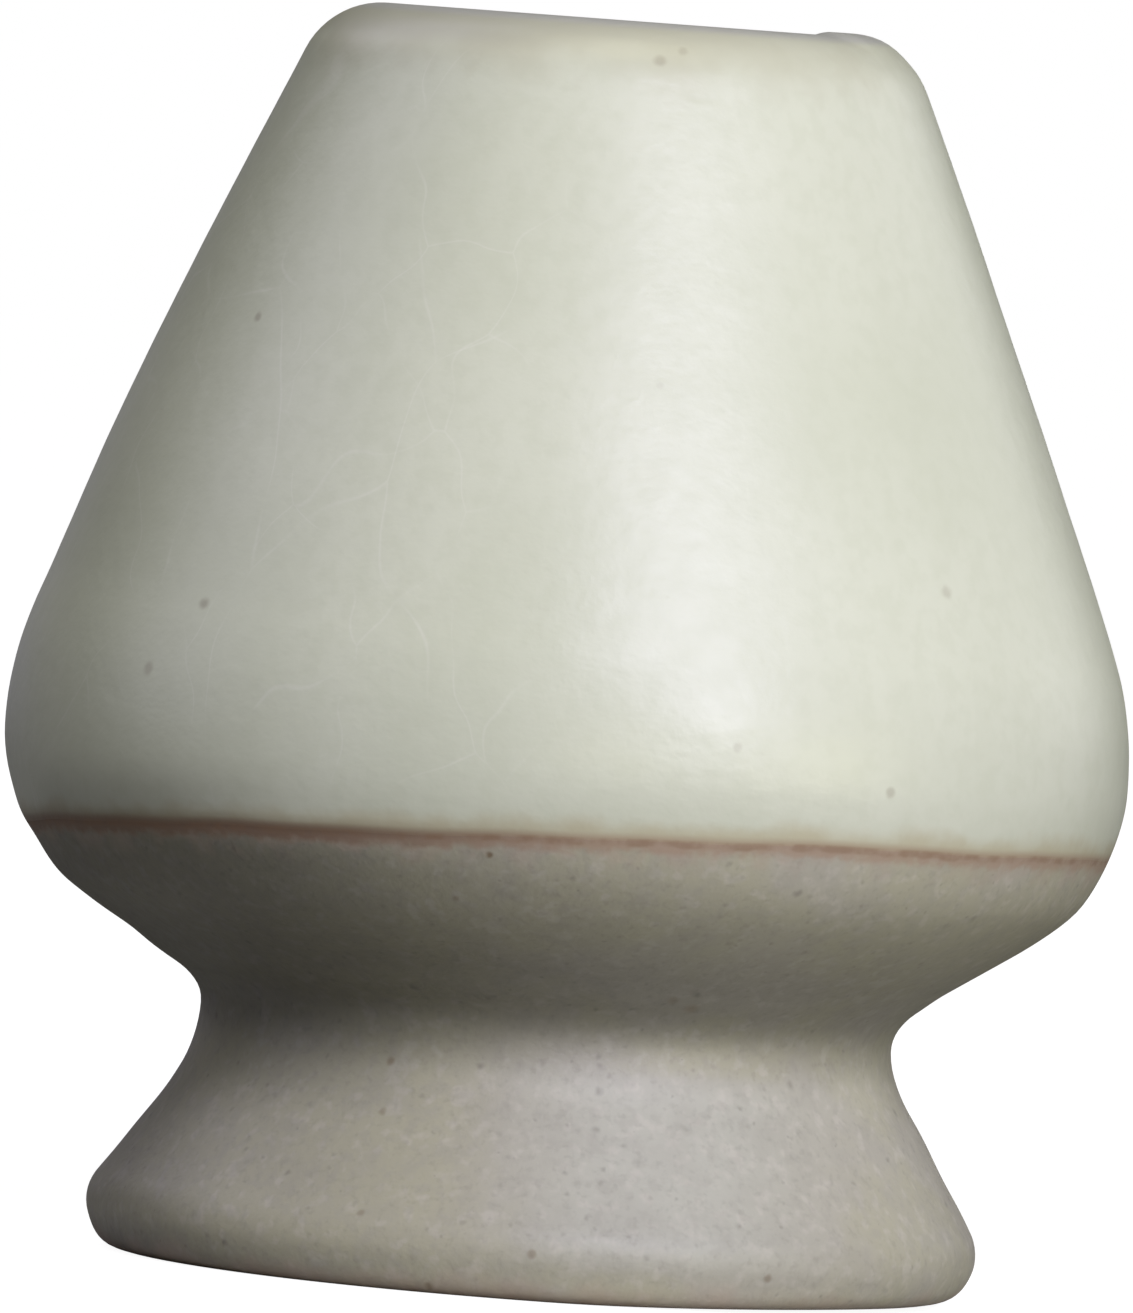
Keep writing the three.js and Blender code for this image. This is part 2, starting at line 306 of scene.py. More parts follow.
def rounded_line(corners, roundings):
    """Points along straight runs whose corners are turned by arcs. An arc touches both runs: it starts the
    rounding divided by the tangent of half the corner's angle before the corner, and its centre lies on the
    bisector. Arcs that ask for more than the run between them both draw back alike."""
    corners = np.asarray(corners, float)
    ahead = np.diff(corners, axis=0)
    runs = np.linalg.norm(ahead, axis=1)
    ahead /= runs[:, None]
    half = np.full(len(corners), math.pi / 2)
    half[1:-1] = np.arccos(np.clip(-(ahead[:-1] * ahead[1:]).sum(1), -1, 1)) / 2
    reach = np.asarray(roundings) / np.tan(half)
    reach[[0, -1]] = 0
    draw_back = np.minimum(1, runs / np.maximum(reach[:-1] + reach[1:], TINY))
    reach[1:-1] *= np.minimum(draw_back[:-1], draw_back[1:])
    line = [corners[:1]]
    for i in range(1, len(corners) - 1):
        radius = reach[i] * math.tan(half[i])
        bisector = ahead[i] - ahead[i - 1]
        centre = corners[i] + bisector / np.linalg.norm(bisector) * radius / math.sin(half[i])
        arc_start = corners[i] - ahead[i - 1] * reach[i] - centre
        turned = math.pi - 2 * half[i]
        turned *= np.sign(ahead[i - 1][0] * ahead[i][1] - ahead[i - 1][1] * ahead[i][0])
        angles = np.linspace(0, turned, max(2, math.ceil(abs(turned) * radius / FINE_STEP)))
        c, s = np.cos(angles), np.sin(angles)
        arc = [c * arc_start[0] - s * arc_start[1], s * arc_start[0] + c * arc_start[1]]
        line.append(centre + np.stack(arc, 1))
    line.append(corners[-1:])
    return np.concatenate(line)


def inside_corner(before, corner, after, wall):
    """The corner of the hollow beside a corner of the outside: along the mean of both runs' inward ways, the
    wall divided by the cosine of the angle between that mean and either way."""
    before, corner, after = (np.asarray(p, float) for p in (before, corner, after))
    arriving = (corner - before) / np.linalg.norm(corner - before)
    leaving = (after - corner) / np.linalg.norm(after - corner)
    inwards = np.array([-arriving[1], arriving[0]])
    mitre = inwards + [-leaving[1], leaving[0]]
    mitre /= np.linalg.norm(mitre)
    return corner + mitre * wall / (mitre @ inwards)


class Section:
    """The body's section as a line of close points: the distance along it of each, its radius and height,
    the way into the clay there, and how sharply the line bends."""

    def __init__(self, shape):
        foot = (shape.foot_radius, 0)
        waist_low = (shape.waist_radius, shape.foot_height)
        waist_high = (shape.waist_radius, shape.waist_level)
        belly_low = (shape.belly_radius, shape.belly_lower_level)
        belly_high = (shape.belly_radius, shape.belly_upper_level)
        shoulder = (shape.shoulder_radius, shape.shoulder_level)
        lip = (shape.lip_radius, shape.height)
        ring = ((shape.foot_opening + shape.foot_radius - shape.foot_rounding) / 2, 0)
        corners = [
            (ring, 0),
            (foot, shape.foot_rounding),
            (waist_low, shape.waist_lower_rounding),
            (waist_high, shape.waist_upper_rounding),
            (belly_low, shape.belly_lower_rounding),
            (belly_high, shape.belly_upper_rounding),
            (shoulder, shape.shoulder_bow),
            (lip, shape.lip_outer_rounding),
            ((shape.mouth_radius, shape.height), shape.lip_inner_rounding),
            ((shape.mouth_radius, shape.height - shape.mouth_depth), shape.throat_rounding),
            (inside_corner(belly_high, shoulder, lip, shape.wall), shape.inner_shoulder_rounding),
            (inside_corner(belly_low, belly_high, shoulder, shape.wall), shape.inner_belly_rounding),
            (inside_corner(waist_high, belly_low, belly_high, shape.wall), shape.inner_undercut_rounding),
            (inside_corner(waist_low, waist_high, belly_low, shape.wall), shape.inner_waist_rounding),
            (inside_corner(foot, waist_low, waist_high, shape.wall), shape.inner_waist_rounding),
            ((shape.foot_opening, 0), shape.foot_inner_rounding),
            (ring, 0),
        ]
        line = rounded_line(*zip(*corners))
        walked = np.concatenate([[0], np.cumsum(np.linalg.norm(np.diff(line, axis=0), axis=1))])
        self.distance = np.linspace(0, walked[-1], math.ceil(walked[-1] / FINE_STEP))
        self.radius = np.interp(self.distance, walked, line[:, 0])
        self.height = np.interp(self.distance, walked, line[:, 1])
        along = np.gradient(np.stack([self.radius, self.height]), self.distance, axis=1)
        along /= np.linalg.norm(along, axis=0)
        self.inward = np.stack([-along[1], along[0]])
        bend = np.linalg.norm(np.gradient(along, self.distance, axis=1), axis=0)
        self.bend = np.convolve(bend, np.ones(BEND_POINTS) / BEND_POINTS, mode="same")
        self.crest = self.distance[np.argmax(self.height)]
        self.end = walked[-1]

    def radius_outside(self, height):
        """Radius of the outside at a height between the foot and the lip."""
        outside = self.distance <= self.crest
        return float(np.interp(height, self.height[outside], self.radius[outside]))

    def at(self, distance):
        """Radius and height at distances along the section, and the way into the clay there."""
        values = (self.radius, self.height, *self.inward)
        return [np.interp(distance, self.distance, v) for v in values]


def wandering(azimuth, phase):
    """A slow irregular wave round the axis, from -1 to 1: three sines of 5, 11 and 23 turns."""
    waves = ((5, 0.5, 1.3), (11, 0.3, 0.4), (23, 0.2, 2.2))
    return sum(share * np.sin(turns * azimuth + start + phase) for turns, share, start in waves)


def dip_distances(section, glaze, azimuth, outside):
    """Where the tilted dip crosses the section on each meridian. A point's height above the dip is its own
    height less (dip height + tangent of the tilt * radius * cosine of the azimuth from the high side + the
    wander). It is worked out for every point and meridian at once, and crosses where it changes sign."""
    side = section.distance <= section.crest if outside else section.distance >= section.crest
    order = slice(None) if outside else slice(None, None, -1)
    walk = (section.distance, section.radius, section.height)
    distance, radius, height = (v[side][order, None] for v in walk)
    lean = np.tan(glaze.dip_tilt) * np.cos(azimuth - glaze.dip_azimuth)
    stray = glaze.wander * wandering(azimuth, 0 if outside else 2)
    above = height - (glaze.dip_height + lean * radius + stray)
    first = np.argmax(above > 0, axis=0)
    columns = np.arange(len(azimuth))
    low, high = above[first - 1, columns], above[first, columns]
    share = low / (low - high)
    return distance[first - 1, 0] + share * (distance[first, 0] - distance[first - 1, 0])


def graded(section, start, end, lines):
    """Distances from start to end, close together in tight arcs and beside the iron lines: the steps' own
    size is the least of the plain step, a fixed turn of the arc, and a step that grows from the line."""
    distance = np.linspace(start, end, max(2, math.ceil((end - start) / FINE_STEP)))
    step = np.where(distance < section.crest, OUTSIDE_STEP, INSIDE_STEP)
    bend = np.interp(distance, section.distance, section.bend)
    step = np.minimum(step, ARC_STEP / np.maximum(bend, TINY))
    for line in lines:
        step = np.minimum(step, LINE_STEP + LINE_GROWTH * np.abs(distance - line))
    counted = np.concatenate([[0], np.cumsum(np.diff(distance) * 2 / (step[1:] + step[:-1]))])
    rows = max(1, math.ceil(counted[-1]))
    return np.interp(np.linspace(0, counted[-1], rows + 1), counted, distance)


def smooth_step(low, high, value):
    """0 below low, 1 above high, and 3t^2 - 2t^3 between them."""
    t = np.clip((value - low) / (high - low), 0, 1)
    return t * t * (3 - 2 * t)


def bump(middle, width, value):
    """1 at the middle and falling to nothing over about the width: exp(-((value - middle) / width)^2)."""
    return np.exp(-(((value - middle) / width) ** 2))


def strayed(shape, hand, azimuth, radius, height):
    """How far the surface lies out from the true turned one, and how far up. Outside, each stray is a bump in
    height that goes from its -X value to its +X value with the cosine of the azimuth. The ridges are a
    product of two sines in height that drifts round the axis. The rounding of the foot is filled out by the
    square of what is left of a reach above the table, and by less at both sides. The lip and the foot's edge
    rise by products of smooth steps."""
    outside = smooth_step(shape.mouth_radius, shape.lip_radius, radius)
    side = np.cos(azimuth)
    under_belly = smooth_step(*LEAN_START, height) * (1 - smooth_step(*LEAN_END, height))
    out = -hand.undercut_lean * under_belly * side
    for level, width, left, right in STRAYS:
        reach = hand.strays * ((left + right) / 2 + (right - left) / 2 * side) * MM
        out = out + reach * bump(level * MM, width * MM, height)
    turns = height * 2 * math.pi
    ridge = np.sin(turns / RIDGE_PITCH + azimuth) * np.sin(turns / RIDGE_BEAT + 2)
    out = out + hand.throwing_ridge * ridge
    swelling = smooth_step(*SWOLLEN_SIDES, side) * smooth_step(*SWOLLEN_HEIGHTS, height)
    worn = smooth_step(*WORN_SIDES, side) * smooth_step(*WORN_RADII, radius)
    worn = worn * (1 - smooth_step(0, WORN_TOP, height))
    filled = np.clip(1 - height / FILLED_TOP, 0, 1) ** 2 * smooth_step(*FILLED_RADII, radius)
    filled = filled * (1 - UNFILLED_SHARE * smooth_step(*UNFILLED_SIDES, np.abs(side)))
    out = out + hand.heel_sharpness * filled
    return out * outside, hand.lip_swelling * swelling + hand.heel_wear * worn


class Surfaces:
    """The rows of the section on every meridian: their points on the surface and under the glaze, and how far
    above the dip they lie along the surface."""

    def __init__(self, shape, glaze, hand):
        section = Section(shape)
        azimuth = np.arange(ROUND) * 2 * math.pi / ROUND
        outer = dip_distances(section, glaze, azimuth, outside=True)
        inner = dip_distances(section, glaze, azimuth, outside=False)
        lines = (outer.mean(), inner.mean())
        stops = (0, lines[0] - glaze.line_width, lines[0], lines[1], lines[1] + glaze.line_width, section.end)
        stretches = [graded(section, a, b, lines) for a, b in zip(stops, stops[1:])]
        rows = np.concatenate([stretch[:-1] for stretch in stretches])
        self.starts = np.cumsum([0] + [len(stretch) - 1 for stretch in stretches])
        distance = rows[:, None] + (
            (outer - lines[0]) * self.slide(rows, stops[1], stops[2])
            + (inner - lines[1]) * self.slide(rows, stops[3], stops[4]))
        self.above_dip = np.minimum(distance - outer, inner - distance)
        radius, height, in_radius, in_height = section.at(distance)
        sink = glaze.edge_sink * (1 - smooth_step(0, glaze.edge_reach, self.above_dip))
        sink = sink * smooth_step(0, shape.foot_height, height)
        out, rise = strayed(shape, hand, azimuth, radius, height)
        radius = radius + out + in_radius * sink
        height = height + rise + in_height * sink
        self.azimuth = azimuth
        self.surface = self.place(radius, height)
        self.under = self.place(radius + in_radius * glaze.thickness, height + in_height * glaze.thickness)

    @staticmethod
    def slide(rows, start, end):
        """The share of the dip's slide that each row takes: 1 on the line, falling evenly to 0."""
        away = np.maximum(np.maximum(start - rows, rows - end), 0)
        return np.clip(1 - away / SLIDE_REACH, 0, 1)[:, None]

    def place(self, radius, height):
        """Points at a radius and height on every meridian."""
        return np.stack([radius * np.cos(self.azimuth), radius * np.sin(self.azimuth), height], axis=-1)


def add_piece(name, rows, above_dip, sharp_rows, material, node, slot):
    """Makes a closed piece from rows of points that close round the axis and from the last row to the first.
    Faces join each point to its neighbours on the next meridian and the next row. The height above the dip,
    in millimetres along the surface, is kept on the points for the material."""
    count, around = rows.shape[:2]
    index = np.arange(count * around).reshape(count, around)
    corners = [index, np.roll(index, -1, 1), np.roll(index, (-1, -1), (0, 1)), np.roll(index, -1, 0)]
    faces = np.stack(corners, axis=-1).reshape(-1, 4)
    mesh = bpy.data.meshes.new(name)
    mesh.vertices.add(count * around)
    mesh.vertices.foreach_set("co", rows.ravel())
    mesh.loops.add(faces.size)
    mesh.loops.foreach_set("vertex_index", faces.ravel().astype(np.int32))
    mesh.polygons.add(len(faces))
    mesh.polygons.foreach_set("loop_start", np.arange(0, faces.size, 4, dtype=np.int32))
    mesh.update(calc_edges=True)
    mesh.validate()
    mesh.polygons.foreach_set("use_smooth", np.ones(len(faces), bool))
    edges = np.empty(len(mesh.edges) * 2, np.int32)
    mesh.edges.foreach_get("vertices", edges)
    first, second = (edges.reshape(-1, 2) // around).T
    sharp = (first == second) & np.isin(first, sharp_rows)
    mesh.attributes.new("sharp_edge", "BOOLEAN", "EDGE").data.foreach_set("value", sharp)
    mesh.attributes.new("above_dip", "FLOAT", "POINT").data.foreach_set("value", (above_dip / MM).ravel())
    mesh.materials.append(material)
    piece = bpy.data.objects.new(name, mesh)
    bpy.context.scene.collection.objects.link(piece)
    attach(piece, "root")
    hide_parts(node)


def add_skin(surfaces, first, last, **names):
    """A closed skin from one row to another: over the surface, and back under the glaze on fewer rows."""
    kept = min(HIDDEN_ROWS, last - first + 1)
    hidden = np.unique(np.linspace(last, first, kept).round().astype(int))[::-1]
    rows = np.concatenate([surfaces.surface[first:last + 1], surfaces.under[hidden]])
    above = np.concatenate([surfaces.above_dip[first:last + 1], surfaces.above_dip[hidden]])
    top = last - first
    add_piece(rows=rows, above_dip=above, sharp_rows=(0, top, top + 1, len(rows) - 1), **names)


def add(tree, kind, inputs=(), out=0, **settings):
    """Adds a node, and gives one of its outputs. The settings are its own, and the inputs pair a socket with
    a value or with the output of another node that is to feed it."""
    made = tree.nodes.new("ShaderNode" + kind)
    for name, value in settings.items():
        setattr(made, name, value)
    for socket, value in dict(inputs).items():
        if isinstance(value, bpy.types.NodeSocket):
            tree.links.new(value, made.inputs[socket])
        else:
            made.inputs[socket].default_value = value
    return made.outputs[out] if made.outputs else None


def new_material(name):
    """An empty material: with it come its tree, its shader's inputs, object coordinates in millimetres, and
    how far above the dip each point lies."""
    material = bpy.data.materials.new(name)
    material.use_nodes = True
    tree = material.node_tree
    tree.nodes.clear()
    shader = add(tree, "BsdfPrincipled")
    add(tree, "OutputMaterial", {"Surface": shader})
    place = add(tree, "TexCoord", out="Object")
    place = add(tree, "Mapping", {"Vector": place, "Scale": (1 / MM, 1 / MM, 1 / MM)})
    dip = add(tree, "Attribute", out="Fac", attribute_name="above_dip")
    return material, tree, shader.node.inputs, place, dip


def coats(tree, colour, layers, blend="MIX"):
    """A colour with others laid over it in turn, each where its mask shows it. They cover what lies under
    them, or with the blend MULTIPLY they darken it."""
    for over, mask in layers:
        colour = add(tree, "Mix", {0: mask, 6: colour, 7: over}, out=2, data_type="RGBA", blend_type=blend)
    return colour


def overlap(tree, *masks):
    """A mask that shows where all of these do: their product."""
    shared = masks[0]
    for mask in masks[1:]:
        shared = add(tree, "Math", {0: shared, 1: mask}, operation="MULTIPLY")
    return shared


def fade(tree, value, start, end, strength=1.0, ragged=0.0):
    """A mask that is nothing at the start and has its strength at the end, as a value in millimetres goes
    from one to the other. The ragged output, if there is one, is added to the value first."""
    value = add(tree, "Math", {0: value, 1: ragged}, operation="ADD")
    step = {"Value": value, "From Min": start, "From Max": end, "To Min": 0.0, "To Max": strength}
    return add(tree, "MapRange", step, interpolation_type="SMOOTHSTEP")


def fades(tree, place):
    """The fades by place: up with the height above the table, and across from left to right."""
    axes = add(tree, "SeparateXYZ", {"Vector": place}).node.outputs
    return functools.partial(fade, tree, axes["Z"]), functools.partial(fade, tree, axes["X"])


def patches(tree, place, size, low=0.4, high=0.6, strength=1.0, detail=2.0, stretch=(1, 1, 1)):
    """Soft patches of noise about half a size across, in millimetres, drawn out along each axis by the
    stretch. The mask is nothing where the noise lies under low, and has its strength over high."""
    scale = tuple(1 / (size * s) for s in stretch)
    moved = add(tree, "Mapping", {"Vector": place, "Scale": scale, "Location": (size, 2 * size, 3 * size)})
    noise = add(tree, "TexNoise", {"Vector": moved, "Scale": 1.0, "Detail": detail})
    return fade(tree, noise, low, high, strength)


def ruffled(tree, place, size, reach):
    """Places pushed about by noise of a size, so that what is drawn on them loses its true outline."""
    noise = add(tree, "TexNoise", {"Vector": place, "Scale": 1 / size, "Detail": 1.0}, out="Color")
    push = add(tree, "VectorMath", {0: noise, 1: (0.5, 0.5, 0.5)}, operation="SUBTRACT")
    push = add(tree, "VectorMath", {0: push, "Scale": 2 * reach}, operation="SCALE")
    return add(tree, "VectorMath", {0: place, 1: push}, operation="ADD")


def spots(tree, place, apart, size, share, strength):
    """Soft round spots up to a size across, one to each cell of a cell pattern as wide as they are apart.
    Only a share of the cells have one, and a cell's own random value sets how large it is."""
    cells = add(tree, "TexVoronoi", {"Vector": ruffled(tree, place, size, size / 3), "Scale": 1 / apart})
    random = add(tree, "SeparateColor", {"Color": cells.node.outputs["Color"]})
    radius = fade(tree, random, 1 - share, 1, size / apart / 2)
    step = {"Value": cells, "From Min": radius, "From Max": 0.0, "To Min": 0.0, "To Max": strength}
    spot = add(tree, "MapRange", step, interpolation_type="SMOOTHSTEP")
    has_one = add(tree, "Math", {0: random, 1: 1 - share}, operation="GREATER_THAN")
    return overlap(tree, spot, has_one)


def marks(tree, place, section, placed):
    """Single spots at their own places, each given as degrees right of the front, height and width, both in
    millimetres, and strength. Its centre lies on the outside of the body at that height."""
    place = ruffled(tree, place, 0.5, 0.09)
    mask = 0.0
    for degrees, height, width, strength in placed:
        radius = section.radius_outside(height * MM) / MM
        turn = math.radians(degrees)
        centre = (radius * math.sin(turn), -radius * math.cos(turn), height)
        away = add(tree, "VectorMath", {0: place, 1: centre}, out="Value", operation="DISTANCE")
        spot = fade(tree, away, 0.6 * width, 0.15 * width, strength)
        mask = add(tree, "Math", {0: mask, 1: spot}, operation="MAXIMUM")
    return mask


def crackle(tree, place, size, stretch, width, strength):
    """A net of thin cracks between cells of a size, drawn out along each axis by the stretch. The distance to
    the nearest edge of a cell makes the line. Cracks show only in some stretches, and only on the left."""
    bent = ruffled(tree, place, 0.9 * size, 0.35 * size)
    scale = tuple(1 / (size * s) for s in stretch)
    bent = add(tree, "Mapping", {"Vector": bent, "Scale": scale, "Rotation": (0.4, 0.6, size)})
    edge = add(tree, "TexVoronoi", {"Vector": bent, "Scale": 1.0}, feature="DISTANCE_TO_EDGE")
    _, across = fades(tree, place)
    return overlap(
        tree, fade(tree, edge, width / size, 0, strength), patches(tree, place, 0.8 * size, 0.4, 0.6),
        across(2, -7))


def edge_of_glaze(tree, place, dip, colours):
    """The iron line, as layers for coats: a soft brown band that frays out downwards, darker on the left with
    painted shade, a brim of painted shade over the glaze there, and a dark hair of a line where the glaze
    ends. All reach a little way up."""
    _, across = fades(tree, place)
    ragged = patches(tree, place, 0.9, 0.3, 0.7, strength=0.35, detail=3)
    thick = patches(tree, place, 1.2, 0.3, 0.7, strength=0.14)
    uneven = patches(tree, place, 1.1, 0.3, 0.65, strength=0.5, detail=4)
    band = overlap(tree, fade(tree, dip, -0.75, -0.1, 0.7, ragged=ragged), fade(tree, dip, 0.55, 0.0))
    hair = overlap(tree, fade(tree, dip, -0.32, -0.1, ragged=thick), fade(tree, dip, 0.2, 0.02), uneven)
    # Painted shade on the left: the band there and a brim over the glaze just above it take the shade colour.
    shaded = across(4, -16, 0.9)
    brim = overlap(tree, fade(tree, dip, 1.0, 0.2, 0.45), fade(tree, dip, -0.3, 0.0), shaded)
    return [
        (colours.iron, band),
        (colours.iron_shade, overlap(tree, band, shaded)),
        (colours.iron_shade, brim),
        (colours.iron_dark, hair),
    ]


def stoneware_colour(tree, place, dip, colours):
    """Bare stoneware with the iron line over it: the same on the body and on the line's own piece. A painted
    sheen makes the front of the foot cooler and paler, and the left side is warmer. Soft light alone leaves
    the clay too bright in its hollows, so painted shade darkens it by place: under the bell, in the recess of
    the neck, away to the left, at the left corner of the heel, beside the glaze on the left, in the nook over
    the foot, on the foot's left flank and along its base."""
    up, across = fades(tree, place)
    section = Section(settings()[0])
    blush = patches(tree, place, 1.6, 0.35, 0.65, detail=3, strength=-1.2)
    waver = patches(tree, place, 3.0, 0.3, 0.7, strength=0.8)
    rim = patches(tree, place, 2, 0.3, 0.7, strength=0.2)
    # Painted sheen: the cool, pale highlight of the key light on the front of the foot.
    front = overlap(tree, across(-5, 5), across(19, 9), up(13, 11), up(1.0, 3.5))
    warm = patches(tree, place, 8, 0.4, 0.56, strength=0.5)
    warm = add(tree, "Math", {0: warm, 1: across(2, -7, 0.6)}, operation="MAXIMUM")
    warm = add(tree, "Math", {0: warm, 1: front}, operation="SUBTRACT", use_clamp=True)
    body = coats(tree, colours.clay, [
        (colours.clay_front_sheen, front),
        (colours.clay_warm, warm),
        (colours.clay_light, patches(tree, place, 0.9, 0.5, 0.72, strength=0.4)),
        (colours.clay_shade, patches(tree, place, 2.4, 0.42, 0.66, strength=0.22)),
        (colours.clay_shade, patches(tree, place, 0.8, 0.48, 0.68, strength=0.3)),
        (colours.clay_grit, patches(tree, place, 0.45, 0.5, 0.8, strength=0.22)),
        (colours.clay_grit, spots(tree, place, 0.9, 0.55, 0.6, 0.4)),
        (colours.clay_grit, spots(tree, place, 1.6, 0.75, 0.5, 0.55)),
        (colours.clay_grit, spots(tree, place, 3.4, 0.95, 0.4, 0.6)),
    ])
    # Painted shade: each of these masks multiplies the clay by the shade colour where the lamps leave it too
    # bright.
    under = overlap(tree, up(11.0, 14, 0.8), up(25, 18))
    recess = overlap(tree, up(13.3, 15.2), up(20, 16.8), across(27, 15))
    away = overlap(tree, up(10.8, 14), across(14, -16))
    corner = overlap(tree, up(2.6, 0.3), across(12, -20))
    beside = overlap(tree, up(16, 21), across(-6, -17, 0.85))
    nook = overlap(tree, up(8.2, 11.7), up(16, 14), across(-4, -14, 0.9), across(-19.5, -15.5))
    flank = overlap(tree, across(-15, -23), up(13, 10))
    base = overlap(tree, up(6, 3, 0.3), across(-10, 2), up(0.8, 2.2))
    shades = (under, recess, away, corner, beside, nook, flank, base)
    body = coats(tree, body, [(colours.neck, mask) for mask in shades], blend="MULTIPLY")
    return coats(tree, body, [
        (colours.flash, fade(tree, dip, -2.4, -0.5, 0.35, ragged=blush)),
        (colours.clay_edge, up(2.0, 0.4, 0.5, ragged=waver)),
        (colours.clay_toast, up(0.5, 0.1, 0.6, ragged=rim)),
        (colours.fleck, marks(tree, place, section, CLAY_FLECKS)),
        *edge_of_glaze(tree, place, dip, colours),
    ])


def relieve(tree, shader, depth, *heights):
    """Raises a surface by the sum of some masks times a depth."""
    relief = heights[0]
    for height in heights[1:]:
        relief = add(tree, "Math", {0: relief, 1: height}, operation="ADD")
    bumped = add(tree, "Bump", {"Height": relief, "Strength": 1.0, "Distance": depth})
    tree.links.new(bumped, shader["Normal"])


def celadon(colours):
    """Celadon: an ash glaze fired in reduction, satin rather than glassy. It gives the eye a pale grey green
    that is never quite even, a broad soft sheen, a few burnt iron spots and a faint crackle. It thins to
    beige over the lip, and to a dull olive where it runs out above the iron line. Low on the left the deep
    colour is laid on as painted shade, and on the left painted shade also darkens the lip and the hem over
    the iron line."""
    material, tree, shader, place, dip = new_material("celadon_dipped")
    up, across = fades(tree, place)
    section = Section(settings()[0])
    waver = patches(tree, place, 5, 0.3, 0.7, strength=1.2)
    thin = patches(tree, place, 2.2, 0.3, 0.7, strength=0.5, detail=3)
    # Painted shade low on the left, in the colour of deeper glaze.
    painted_left_shade = overlap(tree, across(-28.5, -25), across(-12, -17), up(46, 38, 0.55), up(25, 27.5))
    beige = overlap(tree, up(64.4, 67.7, 0.85, ragged=waver), across(24, 2))
    rusty = overlap(tree, up(62.5, 66), patches(tree, place, 2.4, 0.52, 0.7, strength=0.3))
    colour = coats(tree, colours.glaze, [
        (colours.glaze_deep_and_shade, painted_left_shade),
        (colours.glaze_deep_and_shade, patches(tree, place, 22, 0.38, 0.64, strength=0.5)),
        (colours.glaze_deep_and_shade, patches(tree, place, 1.1, 0.4, 0.68, strength=0.3, detail=3)),
        (colours.glaze_deep_and_shade, patches(tree, place, 2.0, 0.45, 0.7, strength=0.18, stretch=(1, 1, 10))),
        (colours.craze, crackle(tree, place, 6.5, (1, 1, 1.8), 0.08, 0.26)),
        (colours.craze, crackle(tree, place, 11, (1.2, 1, 2.4), 0.09, 0.3)),
        (colours.glaze_lip, beige),
        (colours.glaze_lip, rusty),
        (colours.glaze_edge, fade(tree, dip, 1.8, 0.5, 1.0, ragged=thin)),
    ])
    # Painted shade on the left: at the lip and at the hem over the iron line.
    lip = overlap(tree, up(65.8, 66.9, 0.5), across(9, -9))
    hem = overlap(tree, fade(tree, dip, 4.2, 0.4), across(-12, -24), across(-30, -26.5))
    colour = coats(tree, colour, [(colours.neck, lip), (colours.neck, hem)], blend="MULTIPLY")
    colour = coats(tree, colour, [
        (colours.lip_crest, up(67.5, 67.9, 0.8)),
        (colours.fleck, spots(tree, place, 14, 0.8, 0.2, 0.4)),
        (colours.fleck, marks(tree, place, section, GLAZE_FLECKS)),
        *edge_of_glaze(tree, place, dip, colours),
    ])
    tree.links.new(colour, shader["Base Color"])
    uneven = {"Value": patches(tree, place, 1.6, 0.3, 0.7), "To Min": 0.34, "To Max": 0.38}
    tree.links.new(add(tree, "MapRange", uneven), shader["Roughness"])
    shader["IOR"].default_value = 1.5
    peel = patches(tree, place, 0.7, 0.25, 0.75, detail=3)
    ripple = patches(tree, place, 0.8, 0.25, 0.75, strength=1.3, stretch=(1.4, 1.4, 1))
    swell = patches(tree, place, 7, 0.2, 0.8, strength=3.0)
    relieve(tree, shader, 0.006 * MM, peel, ripple, swell)
    return material


def dry_surface(tree, place, shader, ior, depth):
    """The weak sheen of bare clay and its relief: fine grain, and shallow pits between the grains."""
    shader["Roughness"].default_value = 0.5
    shader["IOR"].default_value = ior
    grain = patches(tree, place, 0.4, 0.2, 0.8, detail=3)
    pits = patches(tree, place, 0.9, 0.3, 0.5)
    relieve(tree, shader, depth, grain, pits)


def stoneware(colours):
    """Stoneware: a grogged clay turned on a wheel and fired bare. It gives the eye a dry warm grey with soft
    dark mottles of grit, a pink flash under the glaze and a toasted foot, and a weak sheen where it
    vitrified."""
    material, tree, shader, place, dip = new_material("bare_stoneware")
    tree.links.new(stoneware_colour(tree, place, dip, colours), shader["Base Color"])
    dry_surface(tree, place, shader, 1.45, 0.008 * MM)
    return material


def burnt_iron(colours):
    """Iron burnt out of a glaze edge: where the coat is too thin to stay green, it takes iron from the clay.
    It gives the eye a fine rust brown line, darker in runs, that frays out over the clay."""
    material, tree, shader, place, dip = new_material("burnt_iron_edge")
    tree.links.new(stoneware_colour(tree, place, dip, colours), shader["Base Color"])
    dry_surface(tree, place, shader, 1.5, 0.005 * MM)
    return material


def settings():
    """What the pieces are made from: the shape, the glaze, the hand and the colours."""
    scene = bpy.context.scene
    groups = ("shape", "glaze", "hand", "colours")
    return [getattr(scene, "whisk_holder_" + name) for name in groups]


class HOLDER_OT_clay_body(bpy.types.Operator):
    """Turn the hollow stoneware body, bare at the foot and recessed under the glaze"""

    bl_idname = "holder.clay_body"
    bl_label = "Clay body"

    def execute(self, context):
        shape, glaze, hand, colours = settings()
        made = Surfaces(shape, glaze, hand)
        _, outer, above_outer, below_inner, inner, _ = made.starts
        covered = np.unique(np.linspace(above_outer, below_inner, HIDDEN_ROWS).round().astype(int))
        hidden = np.concatenate([[outer], covered, [inner]])
        rows = np.concatenate([made.surface[:outer + 1], made.under[hidden], made.surface[inner:]])
        above = made.above_dip
        above = np.concatenate([above[:outer + 1], above[hidden], above[inner:]])
        last = outer + len(hidden)
        add_piece("stoneware_body", rows, above, (outer, outer + 1, last, last + 1), stoneware(colours),
                  "clay_body", "stoneware")
        return {"FINISHED"}


class HOLDER_OT_celadon_glaze(bpy.types.Operator):
    """Dip the bell in celadon: one coat down the outside, over the lip and down the inside"""

    bl_idname = "holder.celadon_glaze"
    bl_label = "Celadon glaze"

    def execute(self, context):
        shape, glaze, hand, colours = settings()
        made = Surfaces(shape, glaze, hand)
        add_skin(made, made.starts[2], made.starts[3], name="glaze_coat", material=celadon(colours),
                 node="celadon_glaze", slot="celadon_glaze")
        return {"FINISHED"}


